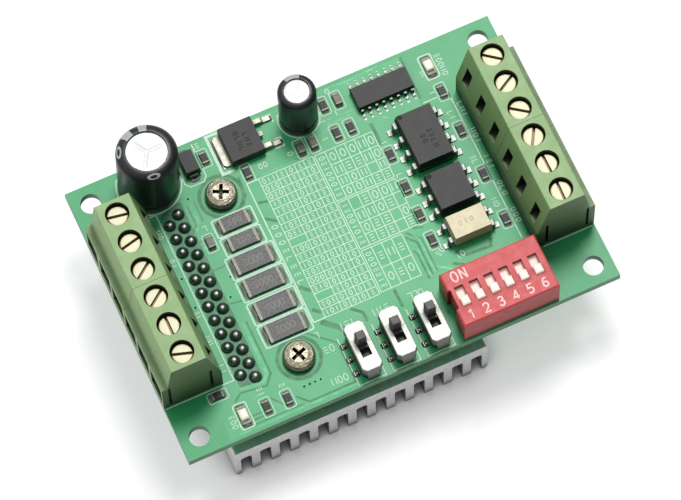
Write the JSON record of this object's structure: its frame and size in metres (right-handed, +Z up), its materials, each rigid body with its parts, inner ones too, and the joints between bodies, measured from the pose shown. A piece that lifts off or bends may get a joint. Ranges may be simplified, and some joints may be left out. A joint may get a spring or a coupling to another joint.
{
  "type": "stepper motor driver board",
  "caption": "Small stepper motor driver board with screw terminals along both short edges, option switches and a finned heatsink underneath.",
  "frame": {"origin": "centre of the whole outline at the fin tips, which stand on the ground plane", "axes": "+X along the board's long edge, towards the signal terminals; +Y from the switch edge to the capacitor edge; +Z up"},
  "size_m": [0.075, 0.0508, 0.0297],
  "materials": {
    "board_mask": "green solder mask over glass-fibre board",
    "terminal_green": "sage green moulded polyamide",
    "terminal_screw": "yellow-passivated steel screws",
    "clamp_metal": "nickel-plated clamp cages",
    "contact_metal": "tin-plated contacts, leads and pins",
    "switch_red": "red moulded switch cover",
    "switch_black": "black moulded switch base",
    "slider_white": "white sliders",
    "slide_cover": "bright plated slide switch covers",
    "knob_black": "dark grey knobs",
    "sink_aluminium": "plain extruded aluminium",
    "chip_black": "black moulded chip epoxy",
    "chip_cream": "cream moulded chip epoxy",
    "plated_screw": "nickel-plated steel screws",
    "can_aluminium": "bright aluminium cans",
    "sleeve_black": "black shrink sleeves",
    "resistor_ceramic": "dark glazed ceramic",
    "light_clear": "clear milky resin"
  },
  "bodies": {
    "board": {"circuit_board": "board_mask", "heatsink": "sink_aluminium", "driver_chip": "chip_black", "driver_chip_leads": "contact_metal", "heatsink_screws": "plated_screw", "left_terminal_housings": "terminal_green", "right_terminal_housings": "terminal_green", "terminal_contacts": "contact_metal", "dip_switch_housing": "switch_red", "dip_switch_base": "switch_black", "dip_switch_pins": "contact_metal", "slide_switch_covers": "slide_cover", "slide_switch_bases": "switch_black", "slide_switch_leads": "contact_metal", "capacitor_cans": "can_aluminium", "capacitor_sleeves": "sleeve_black", "capacitor_leads": "contact_metal", "logic_chip": "chip_black", "dark_optocouplers": "chip_black", "cream_optocoupler": "chip_cream", "chip_leads": "contact_metal", "regulator_body": "chip_black", "regulator_leads": "contact_metal", "sense_resistors": "resistor_ceramic", "chip_components": "resistor_ceramic", "rectifier_diode": "chip_black", "indicator_lights": "light_clear"},
    "terminal_screw_left_1": {"terminal_screw_left_1": "terminal_screw"},
    "clamp_cage_left_1": {"clamp_cage_left_1": "clamp_metal"},
    "terminal_screw_left_2": {"terminal_screw_left_2": "terminal_screw"},
    "clamp_cage_left_2": {"clamp_cage_left_2": "clamp_metal"},
    "terminal_screw_left_3": {"terminal_screw_left_3": "terminal_screw"},
    "clamp_cage_left_3": {"clamp_cage_left_3": "clamp_metal"},
    "terminal_screw_left_4": {"terminal_screw_left_4": "terminal_screw"},
    "clamp_cage_left_4": {"clamp_cage_left_4": "clamp_metal"},
    "terminal_screw_left_5": {"terminal_screw_left_5": "terminal_screw"},
    "clamp_cage_left_5": {"clamp_cage_left_5": "clamp_metal"},
    "terminal_screw_left_6": {"terminal_screw_left_6": "terminal_screw"},
    "clamp_cage_left_6": {"clamp_cage_left_6": "clamp_metal"},
    "terminal_screw_right_1": {"terminal_screw_right_1": "terminal_screw"},
    "clamp_cage_right_1": {"clamp_cage_right_1": "clamp_metal"},
    "terminal_screw_right_2": {"terminal_screw_right_2": "terminal_screw"},
    "clamp_cage_right_2": {"clamp_cage_right_2": "clamp_metal"},
    "terminal_screw_right_3": {"terminal_screw_right_3": "terminal_screw"},
    "clamp_cage_right_3": {"clamp_cage_right_3": "clamp_metal"},
    "terminal_screw_right_4": {"terminal_screw_right_4": "terminal_screw"},
    "clamp_cage_right_4": {"clamp_cage_right_4": "clamp_metal"},
    "terminal_screw_right_5": {"terminal_screw_right_5": "terminal_screw"},
    "clamp_cage_right_5": {"clamp_cage_right_5": "clamp_metal"},
    "terminal_screw_right_6": {"terminal_screw_right_6": "terminal_screw"},
    "clamp_cage_right_6": {"clamp_cage_right_6": "clamp_metal"},
    "dip_slider_1": {"dip_slider_1": "slider_white"},
    "dip_slider_2": {"dip_slider_2": "slider_white"},
    "dip_slider_3": {"dip_slider_3": "slider_white"},
    "dip_slider_4": {"dip_slider_4": "slider_white"},
    "dip_slider_5": {"dip_slider_5": "slider_white"},
    "dip_slider_6": {"dip_slider_6": "slider_white"},
    "slide_knob_1": {"slide_knob_1": "knob_black"},
    "slide_knob_2": {"slide_knob_2": "knob_black"},
    "slide_knob_3": {"slide_knob_3": "knob_black"}
  },
  "joints": [
    {"name": "turn_terminal_screw_left_1", "type": "hinge", "parent": "board", "child": "terminal_screw_left_1", "pos_m": [-0.0325, -0.0131, 0.0276], "axis": [0, 0, -1], "range_deg": [0, 2001]},
    {"name": "lift_clamp_cage_left_1", "type": "slide", "parent": "board", "child": "clamp_cage_left_1", "axis": [0, 0, 1], "range_m": [0, 0.0025]},
    {"name": "turn_terminal_screw_left_2", "type": "hinge", "parent": "board", "child": "terminal_screw_left_2", "pos_m": [-0.0325, -0.00802, 0.0276], "axis": [0, 0, -1], "range_deg": [0, 2001]},
    {"name": "lift_clamp_cage_left_2", "type": "slide", "parent": "board", "child": "clamp_cage_left_2", "axis": [0, 0, 1], "range_m": [0, 0.0025]},
    {"name": "turn_terminal_screw_left_3", "type": "hinge", "parent": "board", "child": "terminal_screw_left_3", "pos_m": [-0.0325, -0.00294, 0.0276], "axis": [0, 0, -1], "range_deg": [0, 2001]},
    {"name": "lift_clamp_cage_left_3", "type": "slide", "parent": "board", "child": "clamp_cage_left_3", "axis": [0, 0, 1], "range_m": [0, 0.0025]},
    {"name": "turn_terminal_screw_left_4", "type": "hinge", "parent": "board", "child": "terminal_screw_left_4", "pos_m": [-0.0325, 0.00214, 0.0276], "axis": [0, 0, -1], "range_deg": [0, 2001]},
    {"name": "lift_clamp_cage_left_4", "type": "slide", "parent": "board", "child": "clamp_cage_left_4", "axis": [0, 0, 1], "range_m": [0, 0.0025]},
    {"name": "turn_terminal_screw_left_5", "type": "hinge", "parent": "board", "child": "terminal_screw_left_5", "pos_m": [-0.0325, 0.00722, 0.0276], "axis": [0, 0, -1], "range_deg": [0, 2001]},
    {"name": "lift_clamp_cage_left_5", "type": "slide", "parent": "board", "child": "clamp_cage_left_5", "axis": [0, 0, 1], "range_m": [0, 0.0025]},
    {"name": "turn_terminal_screw_left_6", "type": "hinge", "parent": "board", "child": "terminal_screw_left_6", "pos_m": [-0.0325, 0.0123, 0.0276], "axis": [0, 0, -1], "range_deg": [0, 2001]},
    {"name": "lift_clamp_cage_left_6", "type": "slide", "parent": "board", "child": "clamp_cage_left_6", "axis": [0, 0, 1], "range_m": [0, 0.0025]},
    {"name": "turn_terminal_screw_right_1", "type": "hinge", "parent": "board", "child": "terminal_screw_right_1", "pos_m": [0.0325, -0.0131, 0.0276], "axis": [0, 0, -1], "range_deg": [0, 2001]},
    {"name": "lift_clamp_cage_right_1", "type": "slide", "parent": "board", "child": "clamp_cage_right_1", "axis": [0, 0, 1], "range_m": [0, 0.0025]},
    {"name": "turn_terminal_screw_right_2", "type": "hinge", "parent": "board", "child": "terminal_screw_right_2", "pos_m": [0.0325, -0.00802, 0.0276], "axis": [0, 0, -1], "range_deg": [0, 2001]},
    {"name": "lift_clamp_cage_right_2", "type": "slide", "parent": "board", "child": "clamp_cage_right_2", "axis": [0, 0, 1], "range_m": [0, 0.0025]},
    {"name": "turn_terminal_screw_right_3", "type": "hinge", "parent": "board", "child": "terminal_screw_right_3", "pos_m": [0.0325, -0.00294, 0.0276], "axis": [0, 0, -1], "range_deg": [0, 2001]},
    {"name": "lift_clamp_cage_right_3", "type": "slide", "parent": "board", "child": "clamp_cage_right_3", "axis": [0, 0, 1], "range_m": [0, 0.0025]},
    {"name": "turn_terminal_screw_right_4", "type": "hinge", "parent": "board", "child": "terminal_screw_right_4", "pos_m": [0.0325, 0.00214, 0.0276], "axis": [0, 0, -1], "range_deg": [0, 2001]},
    {"name": "lift_clamp_cage_right_4", "type": "slide", "parent": "board", "child": "clamp_cage_right_4", "axis": [0, 0, 1], "range_m": [0, 0.0025]},
    {"name": "turn_terminal_screw_right_5", "type": "hinge", "parent": "board", "child": "terminal_screw_right_5", "pos_m": [0.0325, 0.00722, 0.0276], "axis": [0, 0, -1], "range_deg": [0, 2001]},
    {"name": "lift_clamp_cage_right_5", "type": "slide", "parent": "board", "child": "clamp_cage_right_5", "axis": [0, 0, 1], "range_m": [0, 0.0025]},
    {"name": "turn_terminal_screw_right_6", "type": "hinge", "parent": "board", "child": "terminal_screw_right_6", "pos_m": [0.0325, 0.0123, 0.0276], "axis": [0, 0, -1], "range_deg": [0, 2001]},
    {"name": "lift_clamp_cage_right_6", "type": "slide", "parent": "board", "child": "clamp_cage_right_6", "axis": [0, 0, 1], "range_m": [0, 0.0025]},
    {"name": "slide_dip_slider_1", "type": "slide", "parent": "board", "child": "dip_slider_1", "axis": [0, 1, 0], "range_m": [0, 0.0019]},
    {"name": "slide_dip_slider_2", "type": "slide", "parent": "board", "child": "dip_slider_2", "axis": [0, 1, 0], "range_m": [0, 0.0019]},
    {"name": "slide_dip_slider_3", "type": "slide", "parent": "board", "child": "dip_slider_3", "axis": [0, 1, 0], "range_m": [0, 0.0019]},
    {"name": "slide_dip_slider_4", "type": "slide", "parent": "board", "child": "dip_slider_4", "axis": [0, 1, 0], "range_m": [0, 0.0019]},
    {"name": "slide_dip_slider_5", "type": "slide", "parent": "board", "child": "dip_slider_5", "axis": [0, 1, 0], "range_m": [0, 0.0019]},
    {"name": "slide_dip_slider_6", "type": "slide", "parent": "board", "child": "dip_slider_6", "axis": [0, 1, 0], "range_m": [0, 0.0019]},
    {"name": "slide_slide_knob_1", "type": "slide", "parent": "board", "child": "slide_knob_1", "axis": [0, 1, 0], "range_m": [-0.002, 0]},
    {"name": "slide_slide_knob_2", "type": "slide", "parent": "board", "child": "slide_knob_2", "axis": [0, 1, 0], "range_m": [-0.002, 0]},
    {"name": "slide_slide_knob_3", "type": "slide", "parent": "board", "child": "slide_knob_3", "axis": [0, 1, 0], "range_m": [-0.002, 0]}
  ],
  "couplings": [
    {"joint": "turn_terminal_screw_left_1", "follows": "lift_clamp_cage_left_1", "rad_per_m": 13963},
    {"joint": "turn_terminal_screw_left_2", "follows": "lift_clamp_cage_left_2", "rad_per_m": 13963},
    {"joint": "turn_terminal_screw_left_3", "follows": "lift_clamp_cage_left_3", "rad_per_m": 13963},
    {"joint": "turn_terminal_screw_left_4", "follows": "lift_clamp_cage_left_4", "rad_per_m": 13963},
    {"joint": "turn_terminal_screw_left_5", "follows": "lift_clamp_cage_left_5", "rad_per_m": 13963},
    {"joint": "turn_terminal_screw_left_6", "follows": "lift_clamp_cage_left_6", "rad_per_m": 13963},
    {"joint": "turn_terminal_screw_right_1", "follows": "lift_clamp_cage_right_1", "rad_per_m": 13963},
    {"joint": "turn_terminal_screw_right_2", "follows": "lift_clamp_cage_right_2", "rad_per_m": 13963},
    {"joint": "turn_terminal_screw_right_3", "follows": "lift_clamp_cage_right_3", "rad_per_m": 13963},
    {"joint": "turn_terminal_screw_right_4", "follows": "lift_clamp_cage_right_4", "rad_per_m": 13963},
    {"joint": "turn_terminal_screw_right_5", "follows": "lift_clamp_cage_right_5", "rad_per_m": 13963},
    {"joint": "turn_terminal_screw_right_6", "follows": "lift_clamp_cage_right_6", "rad_per_m": 13963}
  ]
}
